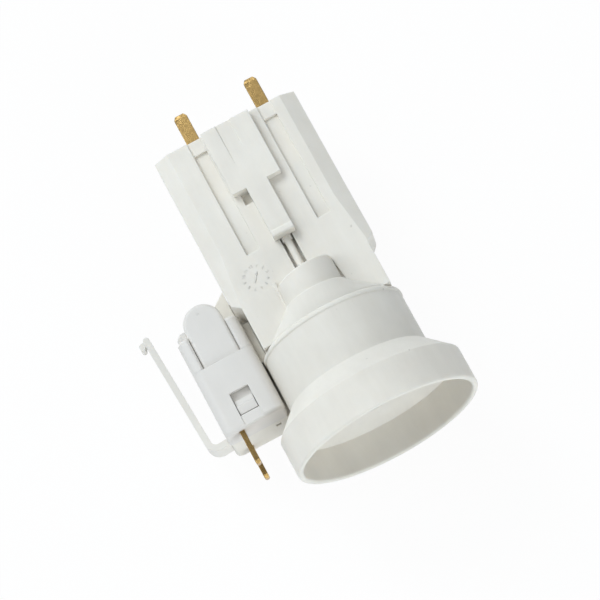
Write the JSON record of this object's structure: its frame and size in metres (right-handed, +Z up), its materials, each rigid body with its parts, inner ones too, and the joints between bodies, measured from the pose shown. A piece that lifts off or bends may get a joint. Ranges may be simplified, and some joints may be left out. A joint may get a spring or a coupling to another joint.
{
  "type": "ceiling lamp holder with plug",
  "caption": "White ceiling lamp holder for a screw lamp, with flat blades, a sliding latch and a flared skirt, beside its loose plug with a pull tab and a retaining strap.",
  "frame": {"origin": "on the table under the middle of the set", "axes": "+Y runs from the lamp's skirt towards the holder's blades, +Z up from the table, +X from the plug towards the holder"},
  "size_m": [0.0662, 0.0938, 0.0477],
  "materials": {
    "housing_plastic": "satin moulded warm white",
    "cover_plastic": "satin moulded neutral white",
    "base_plastic": "satin moulded ivory white",
    "strap_nylon": "natural translucent nylon",
    "carrier_plastic": "matt heat-resistant moulding",
    "blade_brass": "brushed brass",
    "strip_brass": "rolled brass strip",
    "shell_metal": "bright rolled shell",
    "terminal_brass": "turned brass",
    "screw_steel": "zinc plated"
  },
  "bodies": {
    "set": {"holder_housing": "housing_plastic", "back_cover": "housing_plastic", "skirt_sleeve": "housing_plastic", "screw_shell": "shell_metal", "contact_carrier": "carrier_plastic", "centre_contact": "strip_brass", "carrier_rivets": "strip_brass", "blade_left": "blade_brass", "blade_right": "blade_brass", "link_strip_left": "strip_brass", "link_strip_right": "strip_brass", "strip_rivets": "strip_brass", "plug_cover": "cover_plastic", "latch_guide": "cover_plastic", "plug_base": "base_plastic", "plug_blade_near": "blade_brass", "plug_blade_far": "blade_brass", "terminal_near": "terminal_brass", "terminal_far": "terminal_brass", "terminal_screws": "screw_steel", "earth_clip": "strip_brass"},
    "latch": {"latch_slider": "housing_plastic"},
    "tab": {"pull_tab": "cover_plastic"},
    "strap": {"retaining_strap": "strap_nylon"}
  },
  "joints": [
    {"name": "latch_slide", "type": "slide", "parent": "set", "child": "latch", "axis": [0, -0.9979, 0.0653], "range_m": [0, 0.003], "stiffness_N_per_m": 150, "springref_m": -0.002},
    {"name": "pull_tab_slide", "type": "slide", "parent": "set", "child": "tab", "axis": [0, 1, 0], "range_m": [0, 0.002], "stiffness_N_per_m": 150, "springref_m": -0.002},
    {"name": "strap_hinge", "type": "hinge", "parent": "set", "child": "strap", "pos_m": [-0.02368, -0.027, 0.01], "axis": [0, 0, 1], "range_deg": [-6, 12]}
  ]
}
